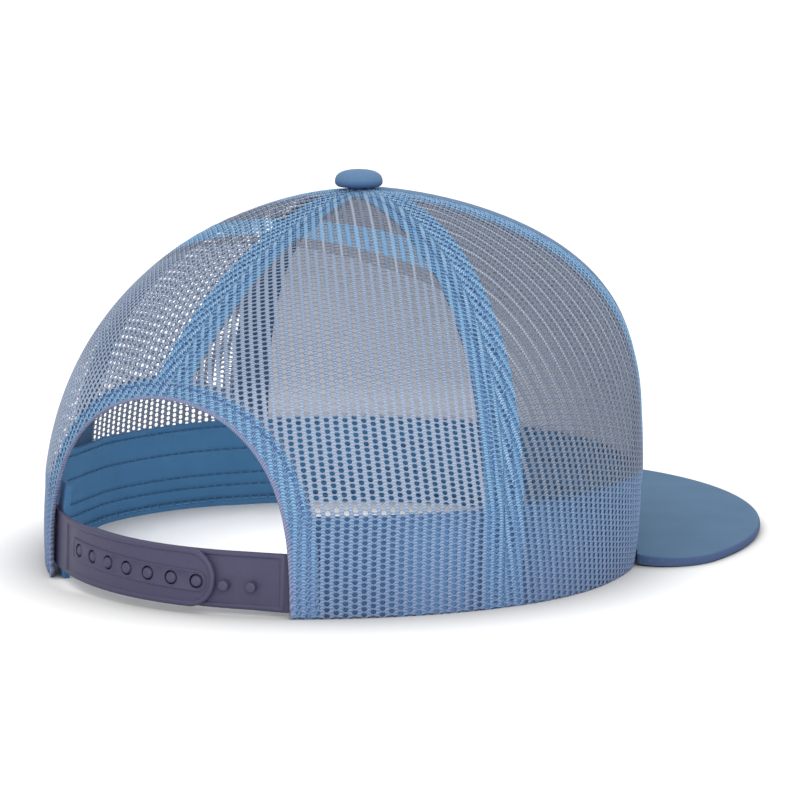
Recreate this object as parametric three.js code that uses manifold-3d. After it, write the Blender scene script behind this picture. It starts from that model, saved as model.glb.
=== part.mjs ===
import * as THREE from 'three';
import { mergeVertices } from 'three/addons/utils/BufferGeometryUtils.js';
import Module from 'manifold-3d';

// A five panel trucker cap that lies on its rim. Millimetres, +Z up, the peak towards -Y and the
// wearer's left towards +X. The pieces are shaped round the middle of the rim, and the last lines
// bring the origin to the middle of the underside.

// Crown
const crownHalfWidth = 94.3;
const crownBackLength = 98;
const crownFrontLength = 91.7;
const crownDiagonalInset = 3.4;
const crownHeight = 114.7;
const crownTopForward = 10.4;
const leftSideSeamAngle = 75;
const rightSideSeamAngle = 68.3;
const frontSeamAngle = 122.2;
const meshThickness = 1;
const foamEaseLength = 10;
const clearance = 0.3;

// How the crown's wall bends over, at four angles from the back. A rounder shoulder has a larger
// exponent, a more upright wall a larger uprightness, and the bulge is a share of the half width.
const wallShapes = [
  { angle: 0, shoulder: 1.44, uprightness: 2.46, bulge: 0.007 },
  { angle: 90, shoulder: 1.85, uprightness: 2.97, bulge: 0.011 },
  { angle: 128, shoulder: 1.62, uprightness: 4.86, bulge: 0.043 },
  { angle: 180, shoulder: 1.6, uprightness: 4.5, bulge: 0.032 },
];

// Tapes and sweatband
const tapeWidth = 13;
const tapeThickness = 0.8;
const tapeEndRadius = 13;
const sweatbandHeight = 29;
const sweatbandThickness = 1.5;
const sweatbandTabLength = 3.5;

// Rear arch
const archHalfWidth = 46;
const archHeight = 58;
const archSideExponent = 2;
const archTopExponent = 3;
const archTapeWidth = 6.3;
const archBindingWidth = 1.2;
const archBindingRise = 0.4;

// Snap strap
const strapHeight = 17;
const strapThickness = 1.5;
const strapLeftLift = 3;
const strapRightLift = 0.2;
const strapTuck = 9;
const holePitch = 8.1;
const holeDiameter = 4.2;
const holeCount = 7;
const emptyHoleCount = 2;
const pegCount = 7;
const middleHoleOffset = 2.5;
const strapEndMargin = 5.6;
const pegDiameter = 3.2;
const pegStand = 0.9;

// Peak
const peakHalfWidth = 102.8;
const peakLength = 72.3;
const peakWidestAhead = 58;
const peakCornerDepth = 20;
const peakCornerWidth = 2.7;
const peakEndAngle = 114;
const peakThickness = 3;
const peakArch = 2;
const peakEdgeRound = 1.2;
const cornerShare = 0.22;

// Button
const buttonDiameter = 15;
const buttonHeight = 5.2;
const buttonSkirtHeight = 1.2;
const buttonShankDiameter = 4.4;

// Fineness of the faceted surfaces
const wallRows = 6;
const domeRows = 12;
const columnAngle = 5.6;
const peakColumns = 36;
const roundEndSteps = 6;
const archSteps = 30;
const roundSides = 12;

// Depths of the layers under the crown's outer face
const tapeDepth = meshThickness + clearance;
const liningDepth = tapeDepth + tapeThickness + clearance;
const pegStrapDepth = liningDepth + strapThickness + clearance;
const frontPanelThickness = tapeDepth + tapeThickness;
const buttonHoleRadius = buttonShankDiameter / 2 + clearance;
const wallShare = 0.5;

const radians = THREE.MathUtils.degToRad;
const lerp = THREE.MathUtils.lerp;

const colours = {
  foam: { color: 0xaca8a4, roughness: 0.95, metalness: 0 },
  mesh: { color: 0x96afd7, roughness: 0.8, metalness: 0 },
  tape: { color: 0x649dd7, roughness: 0.9, metalness: 0 },
  cloth: { color: 0x2d6496, roughness: 0.9, metalness: 0 },
  peakCloth: { color: 0x5c7d9b, roughness: 0.85, metalness: 0 },
  plastic: { color: 0x5a5673, roughness: 0.45, metalness: 0 },
};

const wasm = await Module();
wasm.setup();

// Closed solids for cutting and joining, and back

function toSolid(geometry) {
  const bare = geometry.clone();
  bare.deleteAttribute('normal');
  bare.deleteAttribute('uv');
  const welded = mergeVertices(bare);
  return new wasm.Manifold(new wasm.Mesh({
    numProp: 3,
    vertProperties: new Float32Array(welded.attributes.position.array),
    triVerts: new Uint32Array(welded.index.array),
  }));
}

function toGeometry(solid) {
  const mesh = solid.getMesh();
  const geometry = new THREE.BufferGeometry();
  geometry.setAttribute('position', new THREE.BufferAttribute(mesh.vertProperties, 3));
  geometry.setIndex(new THREE.BufferAttribute(mesh.triVerts, 1));
  geometry.computeVertexNormals();
  return geometry;
}

// A closed wall between an outer and an inner face. A face gives a point for each pair of stops,
// one across the piece towards larger headings and one up it.
function wallBetween(acrossStops, upStops, outer, inner) {
  const positions = [];
  for (const face of [outer, inner]) {
    for (const up of upStops) {
      for (const across of acrossStops) positions.push(...face(across, up).toArray());
    }
  }
  const columns = acrossStops.length - 1;
  const rows = upStops.length - 1;
  const innerStart = (columns + 1) * (rows + 1);
  const at = (column, row) => row * (columns + 1) + column;
  const indices = [];
  const quad = (a, b, c, d) => indices.push(a, b, c, a, c, d);
  for (let row = 0; row < rows; row++) {
    for (let column = 0; column < columns; column++) {
      const a = at(column, row);
      const b = at(column, row + 1);
      const c = at(column + 1, row + 1);
      const d = at(column + 1, row);
      quad(a, b, c, d);
      indices.push(innerStart + a, innerStart + c, innerStart + b);
      indices.push(innerStart + a, innerStart + d, innerStart + c);
    }
  }
  const rim = [];
  for (let row = 0; row < rows; row++) rim.push(at(0, row));
  for (let column = 0; column < columns; column++) rim.push(at(column, rows));
  for (let row = rows; row > 0; row--) rim.push(at(columns, row));
  for (let column = columns; column > 0; column--) rim.push(at(column, 0));
  rim.forEach((here, step) => {
    const next = rim[(step + 1) % rim.length];
    quad(next, here, innerStart + here, innerStart + next);
  });
  const geometry = new THREE.BufferGeometry();
  geometry.setAttribute('position', new THREE.Float32BufferAttribute(positions, 3));
  geometry.setIndex(indices);
  geometry.computeVertexNormals();
  return geometry;
}

// The crown's outer face. A heading is an angle round the cap, 0 at the back and growing towards
// the wearer's left. A rise goes from 0 at the rim to 1 at the hole under the button: its first
// half follows the height, and its second half the turn of the dome.

function wallShape(heading) {
  const angle = Math.abs(THREE.MathUtils.euclideanModulo(heading + Math.PI, 2 * Math.PI) - Math.PI);
  let last = 1;
  while (last < wallShapes.length - 1 && angle > radians(wallShapes[last].angle)) last++;
  const before = wallShapes[last - 1];
  const after = wallShapes[last];
  const share = THREE.MathUtils.smoothstep(angle, radians(before.angle), radians(after.angle));
  return {
    shoulder: lerp(before.shoulder, after.shoulder, share),
    uprightness: lerp(before.uprightness, after.uprightness, share),
    bulge: lerp(before.bulge, after.bulge, share) * crownHalfWidth,
  };
}

function rimRadius(heading) {
  const side = Math.sin(heading) ** 2;
  const end = Math.cos(heading) > 0 ? crownBackLength : crownFrontLength;
  const diagonal = Math.sin(2 * heading) ** 2;
  return crownHalfWidth * side + end * (1 - side) - crownDiagonalInset * diagonal;
}

function crownSurface(heading, rise) {
  const { shoulder, uprightness, bulge } = wallShape(heading);
  const wallTurn = Math.asin(wallShare ** (uprightness / 2));
  const lastTurn = Math.acos((buttonHoleRadius / rimRadius(heading)) ** (shoulder / 2));
  const turn = rise < wallShare
    ? Math.asin(rise ** (uprightness / 2))
    : lerp(wallTurn, lastTurn, (rise - wallShare) / (1 - wallShare));
  const across = Math.cos(turn) ** (2 / shoulder);
  const up = Math.sin(turn) ** (2 / uprightness);
  const radius = across * (rimRadius(heading) + bulge * 4 * up * (1 - up));
  return new THREE.Vector3(
    radius * Math.sin(heading),
    radius * Math.cos(heading) - crownTopForward * up ** 2,
    crownHeight * up,
  );
}

const nudge = 1e-4;

function crownNormal(heading, rise) {
  const across = crownSurface(heading + nudge, rise).sub(crownSurface(heading - nudge, rise));
  const above = crownSurface(heading, Math.min(rise + nudge, 1));
  const up = above.sub(crownSurface(heading, Math.max(rise - nudge, 0)));
  const normal = up.cross(across);
  if (rise === 0) normal.z = 0;
  return normal.normalize();
}

function crownPoint(heading, rise, depth) {
  return crownSurface(heading, rise).addScaledVector(crownNormal(heading, rise), -depth);
}

// The radius of the crown round its own axis, which leans forward with the height
function ringRadius(heading, rise) {
  const point = crownSurface(heading, rise);
  const lean = crownTopForward * (point.z / crownHeight) ** 2;
  return Math.hypot(point.x, point.y + lean);
}

// The heading where the rim stands a given distance to the side of the middle
function headingAtSide(side, depth) {
  let heading = 0;
  for (let pass = 0; pass < 30; pass++) heading = Math.asin(side / (rimRadius(heading) - depth));
  return heading;
}

const riseAt = (height) => height / crownHeight;

function evenStops(from, to, steps) {
  return Array.from({ length: steps + 1 }, (_, step) => lerp(from, to, step / steps));
}

// Headings a column apart
function headingStops(from, to) {
  return evenStops(from, to, Math.ceil((to - from) / radians(columnAngle)));
}

// The rises where every layer of the crown has its rows, up to a top, so that layers bend alike
function riseStops(top) {
  const wall = evenStops(0, wallShare, wallRows);
  const dome = evenStops(wallShare, 1, domeRows).slice(1);
  const leastRow = wallShare / domeRows / 3;
  return [...wall, ...dome].filter((rise) => rise < top - leastRow).concat(top);
}

// Panels, which keep half a clearance to each seam

function panel(fromAngle, toAngle, thicknessAt) {
  const from = radians(fromAngle);
  const to = radians(toAngle);
  const middle = (from + to) / 2;
  const face = (depthAt) => (heading, rise) => {
    const radius = ringRadius(middle, rise);
    const margin = clearance / radius / (to - from);
    const fromSeam = Math.min(heading - from, to - heading) * radius;
    return crownPoint(middle + (heading - middle) * (1 - margin), rise, depthAt(fromSeam));
  };
  return wallBetween(headingStops(from, to), riseStops(1), face(() => 0), face(thicknessAt));
}

const meshPanel = (fromAngle, toAngle) => panel(fromAngle, toAngle, () => meshThickness);

// The front panel's foam is pressed flat under the tapes of its seams
function frontPanel() {
  const pressed = tapeWidth / 2 + foamEaseLength / 4;
  return panel(frontSeamAngle, 360 - frontSeamAngle, (fromSeam) => {
    const eased = THREE.MathUtils.smoothstep(fromSeam, pressed, pressed + foamEaseLength);
    return lerp(meshThickness, frontPanelThickness, eased);
  });
}

// The rear arch as a prism that cuts through the back of the crown

function archPrism(growth) {
  const outline = new THREE.Shape();
  outline.moveTo(archHalfWidth + growth, -archHeight);
  for (let step = 0; step <= archSteps; step++) {
    const turn = Math.PI * step / archSteps;
    const side = Math.sign(Math.cos(turn)) * Math.abs(Math.cos(turn)) ** (2 / archSideExponent);
    const up = Math.abs(Math.sin(turn)) ** (2 / archTopExponent);
    outline.lineTo((archHalfWidth + growth) * side, (archHeight + growth) * up);
  }
  outline.lineTo(-archHalfWidth - growth, -archHeight);
  const prism = new THREE.ExtrudeGeometry(outline, { depth: 2 * crownBackLength, bevelEnabled: false });
  prism.rotateX(Math.PI / 2);
  prism.translate(0, 2 * crownBackLength, 0);
  return toSolid(prism);
}

function rearPanel(fromAngle, toAngle) {
  const hem = archPrism(archBindingWidth + clearance);
  return toGeometry(toSolid(meshPanel(fromAngle, toAngle)).subtract(hem));
}

// The tape that hems the arch lies inside the mesh and folds round its cut edge

function archTape() {
  const seam = radians(Math.min(leftSideSeamAngle, rightSideSeamAngle));
  const reach = seam - tapeWidth / crownBackLength;
  const layer = (outerDepth) => toSolid(wallBetween(
    headingStops(-reach, reach),
    riseStops(1),
    (heading, rise) => crownPoint(heading, rise, outerDepth),
    (heading, rise) => crownPoint(heading, rise, tapeDepth + tapeThickness),
  ));
  const opening = archPrism(0);
  const band = layer(tapeDepth).intersect(archPrism(archTapeWidth));
  const fold = layer(-archBindingRise).intersect(archPrism(archBindingWidth));
  return toGeometry(band.add(fold).subtract(opening));
}

// A seam tape lies over both sides of its seam, and stops half way to the next seam's tape where
// the two would meet near the top

function seamTape(seamAngle, angleBefore, angleAfter) {
  const seam = radians(seamAngle);
  const edge = (sign, nextAngle) => (rise) => {
    const radius = ringRadius(seam, rise);
    const room = Math.abs(radians(nextAngle) - seam) / 2 - clearance / 2 / radius;
    return seam + sign * Math.min(tapeWidth / 2 / radius, room);
  };
  const lowEdge = edge(-1, angleBefore);
  const highEdge = edge(1, angleAfter);
  const face = (depth) => (across, rise) => {
    return crownPoint(lerp(lowEdge(rise), highEdge(rise), across), rise, depth);
  };
  const innerDepth = tapeDepth + tapeThickness;
  const stops = riseStops(riseOfRing(seam, tapeEndRadius));
  return wallBetween(evenStops(0, 1, 2), stops, face(tapeDepth), face(innerDepth));
}

// The rise where the crown has narrowed to a given radius round its own axis
function riseOfRing(heading, radius) {
  let low = wallShare;
  let high = 1;
  for (let pass = 0; pass < 40; pass++) {
    const middle = (low + high) / 2;
    if (ringRadius(heading, middle) > radius) low = middle;
    else high = middle;
  }
  return low;
}

function backTape() {
  const tape = toSolid(seamTape(0, -rightSideSeamAngle, leftSideSeamAngle));
  return toGeometry(tape.subtract(archPrism(archTapeWidth + clearance)));
}

// Snap strap. Distances along it are measured round the back, from the middle towards the left.

const strapStep = radians(columnAngle) * crownBackLength;
const strapHeading = (distance) => distance / (crownBackLength - liningDepth);
const holeAt = (hole) => middleHoleOffset + ((holeCount - 1) / 2 - hole) * holePitch;
const tuckedEnd = headingAtSide(archHalfWidth, liningDepth) * (crownBackLength - liningDepth) + strapTuck;
const holesFreeEnd = holeAt(holeCount - 1) - strapEndMargin;

// A point on the strap, a height above its middle line, which is higher on the left
function strapPoint(distance, height, depth) {
  const lift = lerp(strapRightLift, strapLeftLift, (distance + tuckedEnd) / (2 * tuckedEnd));
  const rise = riseAt(lift + strapHeight / 2 + height);
  return crownPoint(strapHeading(distance), rise, depth);
}

// A strap with a square end that is tucked away and a round free end
function strapPlate(squareEnd, roundEnd, depthAt) {
  const direction = Math.sign(roundEnd - squareEnd);
  const radius = strapHeight / 2;
  const stations = [];
  const straight = roundEnd - direction * radius;
  const straightSteps = Math.ceil(Math.abs(straight - squareEnd) / strapStep);
  for (let step = 0; step < straightSteps; step++) {
    stations.push({ distance: lerp(squareEnd, straight, step / straightSteps), half: radius });
  }
  const bluntTurn = radians(80);
  for (let step = 0; step <= roundEndSteps; step++) {
    const turn = bluntTurn * step / roundEndSteps;
    const distance = straight + direction * radius * Math.sin(turn) / Math.sin(bluntTurn);
    stations.push({ distance, half: radius * Math.cos(turn) });
  }
  if (direction < 0) stations.reverse();
  const face = (extra) => ({ distance, half }, up) => {
    return strapPoint(distance, half * up, depthAt(distance) + extra);
  };
  return wallBetween(stations, [-1, 0, 1], face(0), face(strapThickness));
}

// A round rod that stands square to the strap, between two depths
function strapRod(distance, diameter, outerDepth, innerDepth) {
  const outerEnd = strapPoint(distance, 0, outerDepth);
  const innerEnd = strapPoint(distance, 0, innerDepth);
  const along = outerEnd.clone().sub(innerEnd);
  const rod = new THREE.CylinderGeometry(diameter / 2, diameter / 2, along.length(), roundSides);
  const up = new THREE.Vector3(0, 1, 0);
  rod.applyQuaternion(new THREE.Quaternion().setFromUnitVectors(up, along.clone().normalize()));
  const middle = outerEnd.add(innerEnd).multiplyScalar(0.5);
  rod.translate(middle.x, middle.y, middle.z);
  return toSolid(rod);
}

function strapHoles() {
  let strap = toSolid(strapPlate(tuckedEnd, holesFreeEnd, () => liningDepth));
  for (let hole = 0; hole < holeCount; hole++) {
    const cut = strapRod(holeAt(hole), holeDiameter, 0, liningDepth + 2 * strapThickness);
    strap = strap.subtract(cut);
  }
  return toGeometry(strap);
}

function strapPegs() {
  const depthAt = (distance) => {
    const hem = strapTuck - tuckedEnd;
    const eased = THREE.MathUtils.smoothstep(distance, hem, holesFreeEnd - strapStep);
    return lerp(liningDepth, pegStrapDepth, eased);
  };
  const freeEnd = holeAt(emptyHoleCount) + strapEndMargin;
  let strap = toSolid(strapPlate(-tuckedEnd, freeEnd, depthAt));
  for (let peg = 0; peg < pegCount; peg++) {
    const distance = holeAt(emptyHoleCount + peg);
    const depth = depthAt(distance);
    const standing = depth - strapThickness - clearance - pegStand;
    strap = strap.add(strapRod(distance, pegDiameter, standing, depth + strapThickness / 2));
  }
  return toGeometry(strap);
}

// The sweatband runs round from one side of the arch to the other. Its ends pass inside the strap,
// and the left one shows as a short tab beyond the hem of the arch.

function sweatband() {
  const leftEnd = headingAtSide(archHalfWidth - sweatbandTabLength, pegStrapDepth);
  const rightEnd = 2 * Math.PI - headingAtSide(archHalfWidth, pegStrapDepth);
  const strapRoom = strapHeading(tuckedEnd) + radians(columnAngle);
  const rampEnd = strapRoom + radians(2 * columnAngle);
  const depthAt = (heading) => {
    const fromBack = Math.min(heading, 2 * Math.PI - heading);
    const eased = THREE.MathUtils.smoothstep(fromBack, strapRoom, rampEnd);
    return lerp(pegStrapDepth, liningDepth, eased);
  };
  const face = (extra) => (heading, rise) => crownPoint(heading, rise, depthAt(heading) + extra);
  const stops = riseStops(riseAt(sweatbandHeight));
  return wallBetween(headingStops(leftEnd, rightEnd), stops, face(0), face(sweatbandThickness));
}

// Peak. Its root follows the rim, its outline is half an ellipse with a rounded corner at each end,
// and its middle is arched up from the surface that its sides lie on.

function peakOutline(share) {
  const side = Math.sign(0.5 - share);
  const fromCorner = Math.min(share, 1 - share) * 2;
  const corner = crownSurface(radians(peakEndAngle), 0).x + clearance + peakCornerWidth;
  if (fromCorner < cornerShare) {
    const turn = Math.PI / 2 * (1 - fromCorner / cornerShare);
    const across = corner + (peakHalfWidth - corner) * Math.cos(turn);
    return new THREE.Vector2(side * across, peakCornerDepth * Math.sin(turn) - peakWidestAhead);
  }
  const turn = Math.PI / 2 * (fromCorner - cornerShare) / (1 - cornerShare);
  const ahead = crownFrontLength + peakLength - peakWidestAhead;
  const across = peakHalfWidth * Math.cos(turn);
  return new THREE.Vector2(side * across, -peakWidestAhead - ahead * Math.sin(turn));
}

function peak() {
  const heightAt = (x) => peakArch * (1 - (x / peakHalfWidth) ** 2);
  const face = (lift) => (across, out) => {
    const heading = lerp(radians(peakEndAngle), 2 * Math.PI - radians(peakEndAngle), across);
    const wall = crownPoint(heading, riseAt(peakArch + peakThickness), -clearance);
    const edge = peakOutline(across);
    const x = lerp(wall.x, edge.x, out);
    const y = lerp(wall.y, edge.y, out);
    const round = out === 1 ? peakEdgeRound : 0;
    const height = lift > 0 ? lift - round : round;
    return new THREE.Vector3(x, y, heightAt(x) + height);
  };
  const edgeStart = 1 - peakEdgeRound / peakLength;
  const outStops = [...evenStops(0, edgeStart, 4), 1];
  return wallBetween(evenStops(0, 1, peakColumns), outStops, face(0), face(peakThickness));
}

// Button, turned round its own axis, with a shank through the hole that the panels leave. Its
// domed top stands on a short upright skirt.

function button() {
  const radius = buttonDiameter / 2;
  const shank = buttonShankDiameter / 2;
  const shankEnd = -frontPanelThickness - clearance;
  const skirtTop = clearance + buttonSkirtHeight;
  const outline = [
    new THREE.Vector2(0, shankEnd),
    new THREE.Vector2(shank, shankEnd),
    new THREE.Vector2(shank, 2 * clearance),
    new THREE.Vector2(radius - clearance, clearance),
  ];
  for (let step = 0; step <= roundEndSteps; step++) {
    const turn = Math.PI / 2 * step / roundEndSteps;
    const up = lerp(skirtTop, buttonHeight, Math.sin(turn));
    outline.push(new THREE.Vector2(radius * Math.cos(turn), up));
  }
  outline[outline.length - 1].x = 0;
  const turned = new THREE.LatheGeometry(outline, 2 * roundSides);
  turned.rotateX(Math.PI / 2);
  turned.translate(0, -crownTopForward, crownHeight);
  return turned;
}

const cap = new THREE.Group();

function add(name, finish, geometry) {
  const mesh = new THREE.Mesh(geometry, new THREE.MeshStandardMaterial(finish));
  mesh.name = name;
  cap.add(mesh);
}

const left = { side: leftSideSeamAngle, front: frontSeamAngle };
const right = { side: -rightSideSeamAngle, front: -frontSeamAngle };

add('front_panel', colours.foam, frontPanel());
add('side_panel_left', colours.mesh, meshPanel(left.side, left.front));
add('side_panel_right', colours.mesh, meshPanel(right.front, right.side));
add('rear_panel_left', colours.mesh, rearPanel(0, left.side));
add('rear_panel_right', colours.mesh, rearPanel(right.side, 0));
add('seam_tape_back', colours.tape, backTape());
add('seam_tape_side_left', colours.tape, seamTape(left.side, 0, left.front));
add('seam_tape_side_right', colours.tape, seamTape(right.side, right.front, 0));
add('seam_tape_front_left', colours.tape, seamTape(left.front, left.side, 360 + right.front));
add('seam_tape_front_right', colours.tape, seamTape(right.front, left.front - 360, right.side));
add('arch_tape', colours.tape, archTape());
add('sweatband', colours.cloth, sweatband());
add('strap_holes', colours.plastic, strapHoles());
add('strap_pegs', colours.plastic, strapPegs());
add('peak', colours.peakCloth, peak());
add('button', colours.peakCloth, button());

const reach = new THREE.Box3().setFromObject(cap);
cap.position.set(-(reach.min.x + reach.max.x) / 2, -(reach.min.y + reach.max.y) / 2, -reach.min.z);
cap.updateMatrixWorld(true);

export default cap;
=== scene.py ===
"""A trucker cap of foam and knit net, lying on its rim. The script follows the cap as it is sewn."""

import math

import bpy
import numpy as np
from mathutils import Matrix, Vector


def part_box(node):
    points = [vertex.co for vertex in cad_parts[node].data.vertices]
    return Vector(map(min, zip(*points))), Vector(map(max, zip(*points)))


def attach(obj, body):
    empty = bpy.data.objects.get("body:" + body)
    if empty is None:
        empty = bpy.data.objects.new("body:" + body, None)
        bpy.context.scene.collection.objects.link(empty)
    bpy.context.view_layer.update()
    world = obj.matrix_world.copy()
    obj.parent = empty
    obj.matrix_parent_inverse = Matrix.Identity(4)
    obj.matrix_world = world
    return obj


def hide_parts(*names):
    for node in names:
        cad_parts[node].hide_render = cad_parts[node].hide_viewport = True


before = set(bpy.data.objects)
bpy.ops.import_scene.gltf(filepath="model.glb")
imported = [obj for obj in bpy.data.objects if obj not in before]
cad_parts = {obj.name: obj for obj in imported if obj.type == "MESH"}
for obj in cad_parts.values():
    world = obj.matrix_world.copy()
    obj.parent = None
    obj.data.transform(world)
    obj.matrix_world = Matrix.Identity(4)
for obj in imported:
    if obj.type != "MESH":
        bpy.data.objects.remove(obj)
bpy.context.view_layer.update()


# Front panel
# One half dome of soft foam about 2 mm thick with blue cloth laminated to its outer face. It is sewn
# between the two side panels, and its foam stays bare on the inside.

crown_half_width = 94.3
crown_back_length = 98
crown_front_length = 91.7
crown_diagonal_inset = 3.4
crown_height = 114.7
crown_top_forward = 10.4
rim_middle_back = 33.752
button_hole_radius = 2.5
front_seam = math.radians(122.2)
right_front_seam = math.radians(124.2)
foam_thickness = 2.1
net_thickness = 1
tape_width = 13

# Shoulder, uprightness and bulge of the crown's wall at four angles from the back
wall_angles = np.radians([0, 90, 128, 180])
wall_shoulders = np.array([1.44, 1.85, 1.62, 1.6])
wall_uprightness = np.array([2.46, 2.97, 4.86, 4.5])
wall_bulges = np.array([0.007, 0.011, 0.043, 0.032]) * crown_half_width

# The right side panel stands a little proud where it hangs over the end of the peak
flare = 2.2
flare_heading = -2.02
flare_width = 0.2


def ease(value, start, end):
    """0 up to start, 1 from end, and a smooth step between."""
    share = np.clip((value - start) / (end - start), 0, 1)
    return share * share * (3 - 2 * share)


def rim_radius(heading):
    side = np.sin(heading) ** 2
    end = np.where(np.cos(heading) > 0, crown_back_length, crown_front_length)
    return crown_half_width * side + end * (1 - side) - crown_diagonal_inset * np.sin(2 * heading) ** 2


def crown_surface(heading, rise):
    """The crown's outer face, in millimetres from the middle of the rim."""
    angle = np.abs((heading + math.pi) % (2 * math.pi) - math.pi)
    after = np.clip(np.searchsorted(wall_angles, angle), 1, 3)
    share = ease(angle, wall_angles[after - 1], wall_angles[after])
    shoulder, uprightness, bulge = (
        row[after - 1] + (row[after] - row[after - 1]) * share
        for row in (wall_shoulders, wall_uprightness, wall_bulges)
    )
    wall_turn = np.arcsin(0.5 ** (uprightness / 2))
    last_turn = np.arccos((button_hole_radius / rim_radius(heading)) ** (shoulder / 2))
    low_turn = np.arcsin(np.clip(rise, 0, 0.5) ** (uprightness / 2))
    high_turn = wall_turn + (last_turn - wall_turn) * np.clip(2 * rise - 1, 0, 1)
    turn = np.where(rise < 0.5, low_turn, high_turn)
    across = np.cos(turn) ** (2 / shoulder)
    up = np.sin(turn) ** (2 / uprightness)
    radius = across * (rim_radius(heading) + bulge * 4 * up * (1 - up))
    from_flare = (heading + math.pi - flare_heading) % (2 * math.pi) - math.pi
    radius = radius + flare * np.exp(-((from_flare / flare_width) ** 2)) * (1 - ease(up, 0.05, 0.45))
    forward = crown_top_forward * up**2
    return np.stack([radius * np.sin(heading), radius * np.cos(heading) - forward, crown_height * up], -1)


def crown_point(heading, rise, depth):
    """A point that lies a depth under the crown's outer face."""
    nudge = 1e-4
    across = crown_surface(heading + nudge, rise) - crown_surface(heading - nudge, rise)
    above = crown_surface(heading, np.minimum(rise + nudge, 1))
    below = crown_surface(heading, np.maximum(rise - nudge, 0))
    normal = np.cross(above - below, across)
    normal[..., 2] *= rise > 0
    normal /= np.linalg.norm(normal, axis=-1, keepdims=True)
    return crown_surface(heading, rise) - normal * np.asarray(depth)[..., None]


def ring_radius(heading, rise):
    """How far the crown's face is from the line that its top leans along."""
    point = crown_surface(heading, rise)
    lean = crown_top_forward * (point[..., 2] / crown_height) ** 2
    return np.hypot(point[..., 0], point[..., 1] + lean)


def lengths_up(heading):
    """Rises at even steps, and how far each is up the crown from the rim at a heading."""
    rises = np.linspace(0, 1, 401)
    line = crown_surface(np.full(401, float(heading)), rises)
    steps = np.linalg.norm(np.diff(line, axis=0), axis=1)
    return rises, np.concatenate([[0], np.cumsum(steps)])


def rise_up(heading, length):
    rises, lengths = lengths_up(heading)
    return np.interp(length, lengths, rises)


def heading_aside(heading, rise, distance):
    """The heading that is a distance to the side of another, measured level along the crown."""
    steps = 16
    heading = np.full(np.shape(distance), float(heading))
    for _ in range(steps):
        there = crown_surface(heading + 5e-4, rise) - crown_surface(heading - 5e-4, rise)
        heading = heading + distance / steps * 1e-3 / np.linalg.norm(there, axis=-1)
    return heading


def flat_sheet(name, low, high, cells, thickness):
    """A closed flat sheet in millimetres, with its outer face up at height 0."""
    bpy.ops.object.select_all(action="DESELECT")
    middle = ((low[0] + high[0]) / 2, (low[1] + high[1]) / 2, 0)
    bpy.ops.mesh.primitive_grid_add(
        x_subdivisions=cells[0], y_subdivisions=cells[1], size=1, location=middle
    )
    piece = bpy.context.object
    piece.name = name
    piece.scale = (high[0] - low[0], high[1] - low[1], 1)
    bpy.ops.object.transform_apply(location=True, rotation=False, scale=True)
    bpy.ops.object.mode_set(mode="EDIT")
    bpy.ops.mesh.select_all(action="SELECT")
    bpy.ops.mesh.extrude_region_move(TRANSFORM_OT_translate={"value": (0, 0, -thickness)})
    bpy.ops.mesh.select_all(action="SELECT")
    bpy.ops.mesh.normals_make_consistent(inside=False)
    bpy.ops.object.mode_set(mode="OBJECT")
    return piece


def drape(piece, place, **maps):
    """Moves a flat piece's vertices to where place puts them. Each map gives a UV map of its name."""
    mesh = piece.data
    flat = np.empty(len(mesh.vertices) * 3)
    mesh.vertices.foreach_get("co", flat)
    x, y, z = flat.reshape(-1, 3).T
    corners = np.empty(len(mesh.loops), dtype=np.int32)
    mesh.loops.foreach_get("vertex_index", corners)
    for old in list(mesh.uv_layers):
        mesh.uv_layers.remove(old)
    for name, flat_place in (maps or {"cloth": lambda x, y: (x, y)}).items():
        along, up = flat_place(x, y)
        layer = mesh.uv_layers.new(name=name)
        layer.data.foreach_set("uv", np.stack([along[corners], up[corners]], -1).ravel())
    laid = place(x, y, z)
    laid[:, 1] += rim_middle_back
    mesh.vertices.foreach_set("co", (laid / 1000).ravel())
    mesh.update()


def tidy(piece, smooth_angle=40, merge=1e-5):
    """Merges doubles, turns the faces outwards and shades the piece smooth."""
    bpy.ops.object.select_all(action="DESELECT")
    bpy.context.view_layer.objects.active = piece
    piece.select_set(True)
    bpy.ops.object.mode_set(mode="EDIT")
    bpy.ops.mesh.select_all(action="SELECT")
    bpy.ops.mesh.remove_doubles(threshold=merge)
    bpy.ops.mesh.select_all(action="SELECT")
    bpy.ops.mesh.normals_make_consistent(inside=False)
    bpy.ops.object.mode_set(mode="OBJECT")
    bpy.ops.object.shade_smooth_by_angle(angle=math.radians(smooth_angle))


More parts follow.
